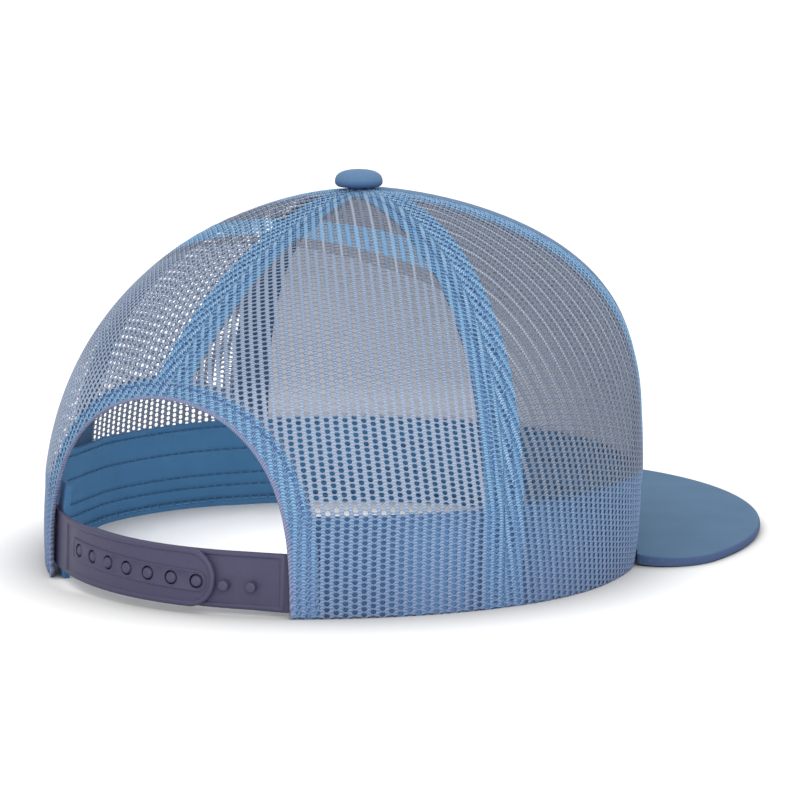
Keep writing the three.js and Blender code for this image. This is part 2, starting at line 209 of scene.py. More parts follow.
class Signal:
    """One output of a material's nodes, which adds Math nodes where it is used in sums."""

    def __init__(self, tree, socket=None):
        self.tree = tree
        self.socket = socket

    def node(self, kind, settings=None, values=None, take=0):
        new = self.tree.nodes.new("ShaderNode" + kind)
        for name, value in (settings or {}).items():
            setattr(new, name, value)
        for name, value in (values or {}).items():
            if isinstance(value, Signal):
                self.tree.links.new(value.socket, new.inputs[name])
            elif isinstance(value, tuple) and len(value) == 3 and new.inputs[name].type == "RGBA":
                new.inputs[name].default_value = (*value, 1)
            else:
                new.inputs[name].default_value = value
        return Signal(self.tree, new.outputs[take])

    def math(self, operation, *terms):
        return self.node("Math", {"operation": operation}, dict(enumerate(terms)))

    def mix(self, share, before, after):
        """A colour that goes from before to after as share goes from 0 to 1."""
        values = {"Factor": share, 6: before, 7: after}
        return self.node("Mix", {"data_type": "RGBA"}, values, 2)

    def part(self, axis):
        """One of the three numbers of a place."""
        return self.node("SeparateXYZ", None, {"Vector": self}, axis)

    def clamped(self):
        return self.node("Clamp", None, {"Value": self})

    def size(self):
        return self.math("ABSOLUTE", self)

    def near(self, middle, reach):
        """1 within a reach of a value, and 0 further off."""
        return self.math("COMPARE", self, middle, reach)

    def __add__(self, other):
        return self.math("ADD", self, other)

    def __radd__(self, other):
        return self.math("ADD", other, self)

    def __sub__(self, other):
        return self.math("SUBTRACT", self, other)

    def __rsub__(self, other):
        return self.math("SUBTRACT", other, self)

    def __mul__(self, other):
        return self.math("MULTIPLY", self, other)

    def __rmul__(self, other):
        return self.math("MULTIPLY", other, self)

    def __truediv__(self, other):
        return self.math("DIVIDE", self, other)

    def __gt__(self, other):
        return self.math("GREATER_THAN", self, other)

    def __lt__(self, other):
        return self.math("LESS_THAN", self, other)

    def sine(self):
        return self.math("SINE", self)


def start_finish(name):
    """A new material and the signal that its nodes start from."""
    material = bpy.data.materials.new(name)
    material.use_nodes = True
    return material, Signal(material.node_tree)


def end_finish(material, colour, roughness, height=None, strength=0.5, distance=0.0003, **constants):
    """Joins a finish's colour, roughness and bump to its shader, and sets the shader's fixed values."""
    shader = material.node_tree.nodes["Principled BSDF"]
    feeds = {"Base Color": colour, "Roughness": roughness}
    if height is not None:
        values = {"Height": height, "Strength": strength, "Distance": distance}
        feeds["Normal"] = height.node("Bump", None, values)
    for name, value in feeds.items():
        if isinstance(value, Signal):
            material.node_tree.links.new(value.socket, shader.inputs[name])
        elif isinstance(value, tuple):
            shader.inputs[name].default_value = (*value, 1)
        else:
            shader.inputs[name].default_value = value
    for name, value in constants.items():
        shader.inputs[name.replace("_", " ").title().replace("Ior", "IOR")].default_value = value


studio_level = 1.6


def tinted(red, green, blue, level=studio_level):
    """The colour that shows on a screen as these numbers out of 255 under a level of light."""
    return tuple(((c / 255 + 0.055) / 1.055) ** 2.4 / level for c in (red, green, blue))


seam_press = 0.75
seam_press_reach = 10


def panel_place(low, high, thickness_at):
    def place(x, y, z):
        radius = ring_radius(np.full_like(y, (low + high) / 2), y)
        heading = low + (high - low) * x
        from_seam = np.minimum(x, 1 - x) * (high - low) * radius
        pressed = seam_press * (1 - ease(from_seam, 1, seam_press_reach))
        inner = thickness_at(from_seam) + 0.2 * (pressed > 0.4)
        return crown_point(heading, y, np.where(z < 0, inner, pressed))

    return place


def foam_depth(from_seam):
    pressed = tape_width / 2 + 2.5
    return net_thickness + (foam_thickness - net_thickness) * ease(from_seam, pressed, pressed + 10)


def panel_cloth(low, high):
    def cloth(x, y):
        rises, lengths = lengths_up((low + high) / 2)
        radius = ring_radius(np.full_like(y, (low + high) / 2), y)
        return (x - 0.5) * (high - low) * radius, np.interp(y, rises, lengths)

    return cloth


foam, start = start_finish("bare foam")
at = start.node("TexCoord", take=3)
pores = start.node("TexNoise", None, {"Vector": at, "Scale": 1400, "Detail": 3})
clouds = start.node("TexNoise", None, {"Vector": at, "Scale": 40, "Detail": 2})
tone = start.mix(clouds, tinted(172, 171, 174, 0.8), tinted(158, 157, 162, 0.8))
end_finish(foam, tone, 0.95, pores, 0.5, 0.0004)

cloth, start = start_finish("front cloth")
at = start.node("UVMap", {"uv_map": "cloth"})
across = at.part(0)
up = at.part(1)
slub = start.node("TexNoise", None, {"Vector": at, "Scale": 0.4, "Detail": 2})
thread_pitch = 2 * math.pi / 0.9
weave = ((across + slub * 0.6) * thread_pitch).sine() * ((up + slub * 0.6) * thread_pitch).sine()
weave = weave * 0.5 + 0.5
clouds = start.node("TexNoise", None, {"Vector": at, "Scale": 0.02, "Detail": 2})
tone = start.mix(clouds, tinted(88, 126, 168), tinted(98, 136, 176))
tone = start.mix(weave * 0.35, tone, tinted(116, 152, 190))
end_finish(cloth, tone, 0.85, weave, 0.5, 0.0002)

front_panel = flat_sheet("front_panel_foam", (0, 0), (1, 1), (72, 60), 0.5)
front_panel.data.materials.append(foam)
front_panel.data.materials.append(cloth)
for face in front_panel.data.polygons:
    face.material_index = 1 if face.center.z > -0.4 else 0
drape(
    front_panel,
    panel_place(front_seam, 2 * math.pi - right_front_seam, foam_depth),
    cloth=panel_cloth(front_seam, 2 * math.pi - right_front_seam),
)
tidy(front_panel)
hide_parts("front_panel")
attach(front_panel, "root")


# Net panels
# The two side panels and the two rear panels are cut from one polyester knit net, with its wales
# upright at the middle of each panel. The rear two are cut away round the arch.

bridge_width = 0.32
rib_width = 1.05
net_front = -0.3
net_back = -0.7
net_press = 0.5
seam_groove = 0.08
band_reach = 6.6
left_side_seam = math.radians(75)
right_side_seam = math.radians(68.3)
arch_half_width = 46
arch_height = 58
over_sweatband = (22, 30)


def net_cell(wale_pitch, course_pitch):
    """One hole of the net and the halves of the ribs and bridges round it."""
    hole_half_width = (wale_pitch - rib_width) / 2
    hole_half_height = (course_pitch - bridge_width) / 2
    bpy.ops.object.select_all(action="DESELECT")
    bpy.ops.mesh.primitive_circle_add(vertices=8, radius=1)
    cell = bpy.context.object
    bpy.ops.object.mode_set(mode="EDIT")
    bpy.ops.mesh.select_all(action="SELECT")
    for _ in range(3):
        bpy.ops.mesh.extrude_edges_move(TRANSFORM_OT_translate={"value": (0, 0, -1)})
    bpy.ops.object.mode_set(mode="OBJECT")
    rib, bridge = wale_pitch / 2, course_pitch / 2
    outer_front = (rib, bridge, math.sqrt(2), net_front, net_front - 0.1)
    hole_front = (hole_half_width, hole_half_height, 1.08, net_front - 0.14, net_front - 0.16)
    hole_back = (hole_half_width, hole_half_height, 1.08, net_back + 0.08, net_back + 0.08)
    outer_back = (rib, bridge, math.sqrt(2), net_back, net_back + 0.04)
    for vertex in cell.data.vertices:
        ring = (outer_front, hole_front, hole_back, outer_back)[round(-vertex.co.z)]
        corner = abs(vertex.co.x) > 0.1 and abs(vertex.co.y) > 0.1
        reach = ring[2] if corner else 1
        height = ring[3] if abs(vertex.co.x) > 0.1 else ring[4]
        vertex.co = (vertex.co.x * ring[0] * reach, vertex.co.y * ring[1] * reach, height)
    return cell


def repeat(piece, count, step):
    array = piece.modifiers.new("repeat", "ARRAY")
    array.count = count
    array.use_relative_offset = False
    array.use_constant_offset = True
    array.constant_offset_displace = step
    array.use_merge_vertices = True
    array.merge_threshold = 0.001
    bpy.context.view_layer.objects.active = piece
    bpy.ops.object.modifier_apply(modifier=array.name)


def arch_share(heading, rise, growth):
    """Under 1 inside the arch, over 1 outside it."""
    point = crown_surface(heading, rise)
    side = np.abs(point[..., 0]) / (arch_half_width + growth)
    return side**2 + (point[..., 2] / (arch_height + growth)) ** 3


def out_of_arch(heading, rise, growth):
    """Moves places that are inside the arch out to its edge."""
    near, far = np.ones_like(heading), np.full_like(heading, 1.6)
    for _ in range(18):
        half = (near + far) / 2
        inside = arch_share(heading * half, rise * half, growth) < 1
        near = np.where(inside, half, near)
        far = np.where(inside, far, half)
    inside = arch_share(heading, rise, growth) < 1
    return np.where(inside, heading * far, heading), np.where(inside, rise * far, rise)


# A side panel's second map starts here, where a rear panel's gives the distance from the arch
right_side_mark = 100
left_side_mark = 200


def net_panel(name, low, high, wale_pitch, course_pitch, lean, lean_start, turn, growth=None):
    """A panel of net. Its wales lean aside above a height, and its courses are turned by a slope."""
    middle = (low + high) / 2
    net = net_cell(wale_pitch, course_pitch)
    net.name = name
    rises, lengths = lengths_up(middle)
    reach = lengths[-1]
    radii = ring_radius(np.full(401, middle), rises)
    course_bends = np.clip(-np.gradient(radii, lengths) / radii, 1e-4, None)
    half_width = (high - low) / 2 * 104 + abs(lean) * reach
    slack = abs(turn) * half_width
    rows = math.ceil((reach + 2 * slack) / course_pitch) + 2
    pairs = math.ceil(half_width / wale_pitch / 2) * 2 + 1
    repeat(net, 2, (wale_pitch, course_pitch / 2, 0))
    repeat(net, rows, (0, course_pitch, 0))
    repeat(net, pairs, (2 * wale_pitch, 0, 0))
    mesh = net.data
    flat = np.empty(len(mesh.vertices) * 3)
    mesh.vertices.foreach_get("co", flat)
    flat = flat.reshape(-1, 3)
    flat[:, 0] -= (pairs - 1) * wale_pitch
    flat[:, 1] -= course_pitch + slack
    mesh.vertices.foreach_set("co", flat.ravel())

    def on_crown(wale, course):
        x = wale + lean * np.maximum(course - lean_start, 0)
        bend = np.interp(course, lengths, course_bends)
        sag = (1 - np.cos(np.minimum(np.abs(bend * x), math.pi))) / bend
        y = course - turn * wale - sag
        rise = rise_up(middle, y)
        heading = heading_aside(middle, rise, x)
        outside = (heading < low) | (heading > high) | (y < 0) | (y > reach)
        if growth is not None:
            outside |= arch_share(heading, rise, growth) < 1
        return heading, rise, outside

    def place(x, y, z):
        heading, rise, outside = on_crown(x, y)
        heading = np.clip(heading, low, high)
        if growth is not None:
            heading, rise = out_of_arch(heading, rise, growth)
        from_seam = np.minimum(heading - low, high - heading) * ring_radius(heading, rise)
        depth = np.where(outside, -(net_front + net_back) / 2, -z)
        pressed = 1 - ease(from_seam, band_reach, band_reach + 3)
        if growth is not None:
            past_arch = arch_share(heading, rise, growth) - 1
            pressed = np.maximum(pressed, 1 - ease(past_arch, 0.22, 0.36))
        pressed = np.maximum(pressed, 1 - ease(rise * crown_height, *over_sweatband))
        depth = depth + net_press * pressed + seam_groove * np.exp(-((from_seam / 0.9) ** 2))
        return crown_point(heading, rise, depth)

    def from_edges(x, y):
        heading, rise, _ = on_crown(x, y)
        from_seam = np.minimum(heading - low, high - heading) * ring_radius(heading, rise)
        if growth is not None:
            return from_seam, (arch_share(heading, rise, 0) - 1) * 22
        from_front = (heading - low if middle < 0 else high - heading) * ring_radius(heading, rise)
        return from_seam, (right_side_mark if middle < 0 else left_side_mark) + from_front

    corners = np.empty(len(mesh.loops), dtype=np.int32)
    mesh.loops.foreach_get("vertex_index", corners)
    gone = on_crown(flat[:, 0], flat[:, 1])[2][corners.reshape(-1, 4)].all(axis=1)
    mesh.vertices.foreach_set("select", np.zeros(len(mesh.vertices), dtype=bool))
    mesh.edges.foreach_set("select", np.zeros(len(mesh.edges), dtype=bool))
    mesh.polygons.foreach_set("select", gone)
    bpy.context.tool_settings.mesh_select_mode = (False, False, True)
    bpy.ops.object.mode_set(mode="EDIT")
    bpy.ops.mesh.delete(type="FACE")
    bpy.ops.object.mode_set(mode="OBJECT")
    bpy.context.tool_settings.mesh_select_mode = (True, False, False)
    drape(net, place, cloth=lambda x, y: (x / wale_pitch, (y + slack) / course_pitch), edges=from_edges)
    tidy(net, 180)
    return net


yarn, start = start_finish("net yarn")
at = start.node("UVMap", {"uv_map": "cloth"})
wale = at.part(0)
course = at.part(1)
edges = start.node("UVMap", {"uv_map": "edges"})
from_seam = edges.part(0)
from_arch = edges.part(1)
height = start.node("TexCoord", take=3).part(2)
wander = start.node("TexNoise", None, {"Vector": at, "Scale": 0.7, "Detail": 2})
fine = start.node("TexNoise", None, {"Vector": at, "Scale": 5, "Detail": 3})
clouds = start.node("TexNoise", None, {"Vector": at, "Scale": 0.1, "Detail": 2})
from_rib = (wale.math("FRACT", wale) - 0.5).size()
loops = ((course * 2 + from_rib * from_rib * 5 + wander * 0.8) * (2 * math.pi)).sine() * 0.5 + 0.5
light = start.math("POWER", loops, 2) * (fine + 0.35)
second_rib = (wale * math.pi).sine() * 0.5 + 0.5
covered = start.math("MAXIMUM", from_seam < 6.4, from_arch < 7)
covered = start.math("MAXIMUM", covered, from_arch.near(right_side_mark + 6, 8.2))
beside = from_arch > 90
near_band = ((0.031 - height) / 0.003).clamped()
light = light * (1 + beside * (second_rib - 0.5) * 0.5)
plain = start.mix(light, tinted(119, 143, 180), tinted(208, 220, 237))
plain = start.mix(clouds * 0.4, plain, tinted(140, 151, 175))
mid_band = ((0.066 - height) / 0.006).clamped() * (1 - near_band)
plain = start.mix(mid_band * 0.35, plain, tinted(194, 210, 236))
# The side panels get a darker, greyer copy of the same yarn tone: painted shade, for the foam behind them
# that lies in shade.
beside_painted_shade = start.mix(light, tinted(106, 120, 146), tinted(166, 178, 198))
plain = start.mix(beside, plain, beside_painted_shade)
high_up = ((height - 0.055) / 0.02).clamped()
ridge = beside * (second_rib > 0.97) * (loops * 0.7 + 0.15) * high_up
plain = start.mix(ridge, plain, tinted(206, 217, 234))
banded = start.mix(light, tinted(90, 150, 204), tinted(184, 218, 246))
tone = start.mix(covered, plain, banded)
stitch = from_seam.near(3.2, 0.3)
stitch = start.math("MAXIMUM", stitch, from_arch.near(5.6, 0.4))
stitch = stitch * (((course * 1.1) * (2 * math.pi)).sine() > -0.4)
tone = start.mix(stitch * 0.8, tone, tinted(66, 92, 164))
bead = from_seam.near(1.3, 0.35) * light
tone = start.mix(bead, tone, tinted(200, 222, 244))
# Toward the bottom the yarn is mixed toward lavender: a painted tint of the light falling on the lower net.
painted_light_tint_low = ((0.024 - height) / 0.03).clamped()
tone = start.mix(near_band * 0.6, tone, start.mix(light, tinted(94, 142, 198), tinted(164, 202, 240)))
tone = start.mix(painted_light_tint_low * 0.45, tone, tinted(134, 141, 186))
end_finish(yarn, tone, 0.8, loops * 0.8 + fine - stitch, 0.7, 0.0002)

for name, *lay in (
    ("side_panel_left", left_side_seam, front_seam, 2.55, 1.7, 0, 0, 0),
    ("side_panel_right", -right_front_seam, -right_side_seam, 2.47, 1.69, 0.15, 0, 0.15),
    ("rear_panel_left", 0, left_side_seam, 2.8, 1.71, -0.05, 0, 0, 0.8),
    ("rear_panel_right", -right_side_seam, 0, 2.64, 1.72, 0.17, 29, 0, 0.8),
):
    net = net_panel(name + "_net", *lay)
    net.data.materials.append(yarn)
    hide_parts(name)
    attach(net, "root")


# Seam tapes
# Woven cotton tape 13 mm wide, sewn over the inside of each seam with a row of stitches near each
# edge, so that no raw edge of the net or the foam shows.

tape_depth = 1.3
tape_thickness = 0.8


def seam_tape(name, seam, before, after, growth, width_before, width_after):
    rises = np.linspace(0.5, 1, 300)
    radii = ring_radius(np.full(300, seam), rises)
    top = np.interp(-13, -radii, rises)
    rises, lengths = lengths_up(seam)
    reach = np.interp(top, rises, lengths)
    tape = flat_sheet(name, (-tape_width / 2, 0), (tape_width / 2, reach), (8, 70), tape_thickness)
    tape.data.materials.append(tape_cloth)
    tape.data.materials.append(shaded_tape_inside)
    # Faces on the tape's inner side take the darker copy of its cloth, which is painted shade.
    for face in tape.data.polygons:
        face.material_index = 1 if face.center.z < -0.7 else 0

    def place(x, y, z):
        rise = rise_up(seam, y)
        radius = ring_radius(np.full_like(rise, seam), rise)
        room = np.where(x < 0, seam - before, after - seam) / 2 * radius - 0.15
        width = np.where(x < 0, width_before, width_after)
        heading = seam + x / (tape_width / 2) * np.minimum(width, room) / radius
        if growth is not None:
            heading, rise = out_of_arch(heading, rise, growth)
        return crown_point(heading, rise, tape_depth - z)

    if growth is not None:
        mesh = tape.data
        low_end = np.interp(arch_height, crown_surface(np.zeros(401), rises)[:, 2], lengths)
        for vertex in mesh.vertices:
            share = vertex.co.y / reach
            vertex.co.y = low_end + (reach - low_end) * share
    drape(tape, place)
    tidy(tape, 40)
    return tape


tape_cloth, start = start_finish("seam tape")
at = start.node("UVMap", {"uv_map": "cloth"})
along = at.part(0)
up = at.part(1)
wander = start.node("TexNoise", None, {"Vector": at, "Scale": 0.5, "Detail": 3})
twist = ((along * 0.75 + wander * 1.5) * (2 * math.pi)).sine()
threads = twist * ((up * 1.1 + wander) * (2 * math.pi)).sine() * 0.5 + 0.5
tone = start.mix(threads, tinted(72, 124, 180), tinted(124, 172, 216))
dots = along.size().near(2.2, 1) * ((up * (2 * math.pi / 1.72)).sine() > 0.1)
tone = start.mix(dots * 0.75, tone, tinted(44, 78, 124))
end_finish(tape_cloth, tone, 0.85, threads, 0.5, 0.0003)
# The tape's inner faces are a darker copy of the same cloth: painted shade, for the inside of the tapes
# that lies in shade.
shaded_tape_inside, start = start_finish("seam tape inside painted shade")
at = start.node("UVMap", {"uv_map": "cloth"})
ribs = start.node("TexWave", {"bands_direction": "Y"}, {"Vector": at, "Scale": 0.5, "Distortion": 0.4})
end_finish(shaded_tape_inside, start.mix(ribs, tinted(50, 84, 120), tinted(60, 96, 134)), 0.85, ribs, 0.4, 0.0002)

half = tape_width / 2
round_front = front_seam - 2 * math.pi
for name, *lay in (
    ("seam_tape_back", 0, -right_side_seam, left_side_seam, 6.6, half, half),
    ("seam_tape_side_left", left_side_seam, 0, front_seam, None, half, half),
    ("seam_tape_side_right", -right_side_seam, -right_front_seam, 0, None, half, half),
    ("seam_tape_front_left", front_seam, left_side_seam, 2 * math.pi - front_seam, None, half, half),
    ("seam_tape_front_right", -right_front_seam, round_front, -right_side_seam, None, half, 14),
):
    tape = seam_tape(name + "_cloth", *lay)
    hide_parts(name)
    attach(tape, "root")


# Arch tape
# The same cloth hems the rear arch. A flat band lies inside the net, and its edge is folded round
# the net's cut edge as a narrow binding.

lining_depth = tape_depth + tape_thickness + 0.3

# Growth and depth round the tape's section, from the edge of the arch along the inside and back
tape_section = np.array([
    (0, 1.1), (0.1, 1.75), (0.45, 2.05), (1.2, 2.1), (3.6, 2.1), (6.1, 2.1), (6.3, 1.95), (6.3, 1.45),
    (6.1, 1.3), (3.6, 1.3), (1.5, 1.3), (1.1, 1.25), (0.95, 1.0), (0.9, 0.7), (0.7, 0.5), (0.4, 0.45),
    (0.12, 0.7), (0, 1.1),
])


def section_growth(y):
    return np.interp(y, np.arange(len(tape_section)), tape_section[:, 0])


def arch_tape_place(x, y, z):
    place = np.clip(y, 0, len(tape_section) - 1)
    growth = section_growth(place)
    depth = np.interp(place, np.arange(len(tape_section)), tape_section[:, 1])
    turn = x
    side = np.sign(np.cos(turn)) * np.abs(np.cos(turn)) * (arch_half_width + growth)
    height = np.abs(np.sin(turn)) ** (2 / 3) * (arch_height + growth)
    heading = np.zeros_like(side)
    rise = height / crown_height
    for _ in range(40):
        point = crown_point(heading, rise, depth)
        radius = np.maximum(point[..., 1], 20)
        heading = heading + (side - point[..., 0]) / radius
        rise = np.clip(rise + (height - point[..., 2]) / crown_height * 0.8, 0, 1)
    return crown_point(heading, rise, depth)


bpy.ops.object.select_all(action="DESELECT")
bpy.ops.mesh.primitive_grid_add(x_subdivisions=96, y_subdivisions=len(tape_section) - 1, size=1)
arch_tape = bpy.context.object
arch_tape.name = "arch_tape_cloth"
grid = np.empty(len(arch_tape.data.vertices) * 3)
arch_tape.data.vertices.foreach_get("co", grid)
grid = grid.reshape(-1, 3)
turned = (grid[:, 0] + 0.5) * 2 - 1
grid[:, 0] = math.pi / 2 * (1 + np.sign(turned) * (1 - (1 - np.abs(turned)) ** 1.5))
grid[:, 1] = np.round((grid[:, 1] + 0.5) * (len(tape_section) - 1))
arch_tape.data.vertices.foreach_set("co", grid.ravel())
drape(arch_tape, arch_tape_place, cloth=lambda x, y: (x * 60, section_growth(y)))
tidy(arch_tape, 50)
bpy.ops.object.mode_set(mode="EDIT")
bpy.ops.mesh.select_all(action="DESELECT")
bpy.ops.mesh.select_non_manifold()
bpy.ops.mesh.edge_face_add()
bpy.ops.mesh.select_all(action="SELECT")
bpy.ops.mesh.normals_make_consistent(inside=False)
bpy.ops.object.mode_set(mode="OBJECT")
hem_cloth, start = start_finish("arch hem")
at = start.node("UVMap", {"uv_map": "cloth"})
along = at.part(0)
growth = at.part(1)
wander = start.node("TexNoise", None, {"Vector": at, "Scale": 0.5, "Detail": 3})
threads = ((along * 1.1 + growth * 0.8 + wander * 1.5) * (2 * math.pi)).sine() * 0.5 + 0.5
inner = start.mix(threads, tinted(78, 122, 176), tinted(140, 176, 216))
# The folded edge of the same cloth is mixed toward lavender: a painted tint of the light on the fold.
edge = start.mix(threads, tinted(112, 124, 170), tinted(160, 170, 204))
tone = start.mix(growth < 1, inner, edge)
end_finish(hem_cloth, tone, 0.85, threads, 0.5, 0.0003)
arch_tape.data.materials.append(hem_cloth)
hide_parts("arch_tape")
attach(arch_tape, "root")


# Sweatband
# A cotton band 29 mm high, folded double and stitched in rows, sewn inside the rim. Its ends meet
# the strap at both sides of the arch.

sweatband_height = 29
sweatband_thickness = 1.5
strap_tuck = 9
band_length = 480
band_slack = 0.85
column_angle = math.radians(5.6)
strap_thickness = 1.5
peg_strap_depth = lining_depth + strap_thickness + 0.3


def heading_at_side(side, depth):
    heading = 0
    for _ in range(30):
        heading = math.asin(side / (rim_radius(heading) - depth))
    return heading


left_end = heading_at_side(arch_half_width - 3.5, peg_strap_depth)
right_end = 2 * math.pi - heading_at_side(arch_half_width, peg_strap_depth)
strap_reach = crown_back_length - lining_depth
tucked_end = heading_at_side(arch_half_width, lining_depth) * strap_reach + strap_tuck


def sweatband_place(x, y, z):
    heading = left_end + (right_end - left_end) * x / band_length
    from_back = np.minimum(heading, 2 * math.pi - heading)
    room = tucked_end / strap_reach + column_angle
    eased = ease(from_back, room, room + 2 * column_angle)
    depth = peg_strap_depth + (lining_depth - peg_strap_depth) * eased
    side = np.where(heading < math.pi, heading, heading - 2 * math.pi)
    seams = np.array([front_seam, left_side_seam, -right_side_seam, -front_seam])
    from_seam = np.abs(side[:, None] - seams).min(axis=1) * crown_half_width
    from_arch = (from_back - room) * crown_back_length
    apart = np.minimum(from_seam, from_arch) * (from_back < front_seam)
    depth = depth - band_slack * ease(apart, 7, 13)
    return crown_point(heading, y / crown_height, depth - z)


stitch_rows = (1.6, 2.5, 6.7, 10.7, 19.1, 27)


def stitched_sweatband_place(x, y, z):
    row = sum(np.exp(-(((y - row) / 0.55) ** 2)) for row in stitch_rows)
    face = np.abs(z + sweatband_thickness) < 0.01
    return sweatband_place(x, y, z + np.where(face, 0.35 * row - 0.15, 0))


band_cloth, start = start_finish("sweatband cotton")
at = start.node("UVMap", {"uv_map": "cloth"})
twill = {"Vector": at, "Scale": 0.7, "Distortion": 0.3}
weave = start.node("TexWave", {"bands_direction": "DIAGONAL"}, twill)
clouds = start.node("TexNoise", None, {"Vector": at, "Scale": 0.08, "Detail": 3})
tone = start.mix(clouds, tinted(60, 116, 162), tinted(74, 132, 180))
end_finish(band_cloth, tone, 0.9, weave, 0.3, 0.00015)
# The band's outer face is a brighter copy of its cotton, set at a lower level of light: painted light where
# it lies in shade under the net.
painted_light_facing, start = start_finish("sweatband facing")
at = start.node("UVMap", {"uv_map": "cloth"})
wander = start.node("TexNoise", None, {"Vector": at, "Scale": 0.9, "Detail": 3})
tone = start.mix(wander, tinted(78, 118, 164, 1), tinted(98, 138, 184, 1))
end_finish(painted_light_facing, tone, 0.9, wander, 0.4, 0.0002)
dark_thread, start = start_finish("sweatband dark thread")
end_finish(dark_thread, tinted(48, 94, 138), 0.7)
light_thread, start = start_finish("sweatband light thread")
end_finish(light_thread, tinted(98, 150, 196), 0.7)

band_cells = (200, 58)
band_size = (band_length, sweatband_height)
sweatband = flat_sheet("sweatband_cloth", (0, 0), band_size, band_cells, sweatband_thickness)
# The outer faces take the brighter copy of the cotton, which is painted light.
for face in sweatband.data.polygons:
    face.material_index = 1 if face.center.z > -0.1 else 0
bpy.ops.object.select_all(action="DESELECT")
bpy.ops.mesh.primitive_cylinder_add(vertices=6, radius=0.19, depth=2.3, rotation=(0, math.pi / 2, 0))
stitch = bpy.context.object
bpy.ops.object.transform_apply(location=False, rotation=True, scale=False)
for vertex in stitch.data.vertices:
    vertex.co.x += 3
stitch_pitch = 3.2
repeat(stitch, 148, (stitch_pitch, 0, 0))
for piece in (sweatband, stitch):
    for material in (band_cloth, painted_light_facing, dark_thread, light_thread):
        piece.data.materials.append(material)
rows = [stitch]
for row in stitch_rows[1:]:
    bpy.ops.object.select_all(action="DESELECT")
    stitch.select_set(True)
    bpy.context.view_layer.objects.active = stitch
    bpy.ops.object.duplicate(linked=False)
    rows.append(bpy.context.object)
for place, piece in zip(stitch_rows, rows):
    for vertex in piece.data.vertices:
        vertex.co.x += 0.9 * (place % 1)
        vertex.co.y += place
        vertex.co.z -= 1.62
    thread_index = 3 if place < 2 else 2
    piece.data.polygons.foreach_set("material_index", [thread_index] * len(piece.data.polygons))
    piece.select_set(True)
sweatband.select_set(True)
bpy.context.view_layer.objects.active = sweatband
bpy.ops.object.join()
drape(sweatband, stitched_sweatband_place)
tidy(sweatband, 40, 1e-7)
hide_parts("sweatband")
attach(sweatband, "root")


# Snap strap
# Two moulded halves in dark satin plastic, sewn into the hem at both sides of the arch. The half
# with holes comes from the wearer's left and lies over the half with pegs.

strap_height = 17
strap_seat = 0.9
strap_left_lift = 3
strap_right_lift = 0.2
hole_pitch = 8.1
hole_diameter = 4.2
peg_diameter = 3.2
hole_slope = 0.03
holes = [3.1 + (3 - hole) * hole_pitch for hole in range(7)]
pegs = [2.9 + (1 - peg) * hole_pitch for peg in range(7)]
holes_end = holes[6] - 5.6
pegs_end = holes[0] + 4


def box_prism(low, high, rounding, at_x, segments=12):
    """A prism between two corners, with its upright edges at the given x rounded."""
    bpy.ops.object.select_all(action="DESELECT")
    middle = [(a + b) / 2 for a, b in zip(low, high)]
    bpy.ops.mesh.primitive_cube_add(size=1, location=middle)
    prism = bpy.context.object
    prism.scale = [b - a for a, b in zip(low, high)]
    bpy.ops.object.transform_apply(location=True, rotation=False, scale=True)
    for edge in prism.data.edges:
        first, second = (prism.data.vertices[v].co for v in edge.vertices)
        edge.select = abs(first.z - second.z) > 0.1 and any(abs(first.x - x) < 0.01 for x in at_x)
    for vertex in prism.data.vertices:
        vertex.select = False
    for face in prism.data.polygons:
        face.select = False
    bpy.context.tool_settings.mesh_select_mode = (False, True, False)
    bpy.ops.object.mode_set(mode="EDIT")
    bpy.ops.mesh.bevel(offset=rounding, segments=segments, affect="EDGES")
    bpy.ops.object.mode_set(mode="OBJECT")
    bpy.context.tool_settings.mesh_select_mode = (True, False, False)
    return prism


def combine(piece, tool, operation):
    """Cuts or joins the tool's shape into the piece, and removes the tool."""
    join = piece.modifiers.new("join", "BOOLEAN")
    join.operation = operation
    join.solver = "EXACT"
    join.object = tool
    bpy.context.view_layer.objects.active = piece
    bpy.ops.object.modifier_apply(modifier=join.name)
    bpy.data.objects.remove(tool)


def slice_across(piece, low, high, step):
    """Cuts a flat piece across at even steps, so that it can bend."""
    bpy.ops.object.select_all(action="DESELECT")
    bpy.context.view_layer.objects.active = piece
    piece.select_set(True)
    bpy.ops.object.mode_set(mode="EDIT")
    for cut in range(1, math.ceil((high - low) / step)):
        bpy.ops.mesh.select_all(action="SELECT")
        bpy.ops.mesh.bisect(plane_co=(low + cut * step, 0, 0), plane_no=(1, 0, 0))
    bpy.ops.object.mode_set(mode="OBJECT")


def strap_plate(name, tab_end, recess_start, round_end):
    """A flat strap with a bead round its recessed front, and a plain tab that is sewn into the hem."""
    half = strap_height / 2
    rim_edge = -0.35
    low = (min(tab_end, round_end), -half, -strap_thickness)
    high = (max(tab_end, round_end), half, rim_edge)
    plate = box_prism(low, high, half - 0.2, [round_end])
    plate.name = name
    bpy.ops.object.mode_set(mode="EDIT")
    bpy.ops.mesh.select_all(action="SELECT")
    bpy.ops.mesh.bisect(plane_co=(recess_start, 0, 0), plane_no=(1, 0, 0))
    bpy.ops.object.mode_set(mode="OBJECT")
    bpy.context.tool_settings.mesh_select_mode = (False, False, True)
    towards = math.copysign(1, round_end - recess_start)
    for face in plate.data.polygons:
        face.select = face.normal.z > 0.9 and (face.center.x - recess_start) * towards > 0
    for edge in plate.data.edges:
        edge.select = False
    for vertex in plate.data.vertices:
        vertex.select = False
    bpy.ops.object.mode_set(mode="EDIT")
    for thickness, rise in ((0.25, 0.25), (0.3, 0.1), (0.55, 0), (0.3, -0.1), (0.22, -0.4)):
        bpy.ops.mesh.inset(thickness=thickness, depth=rise)
    bpy.ops.object.mode_set(mode="OBJECT")
    bpy.context.tool_settings.mesh_select_mode = (True, False, False)
    return plate


def row_rise(x):
    return hole_slope * (x - holes_end) - 1 if x > holes_end else -1.5


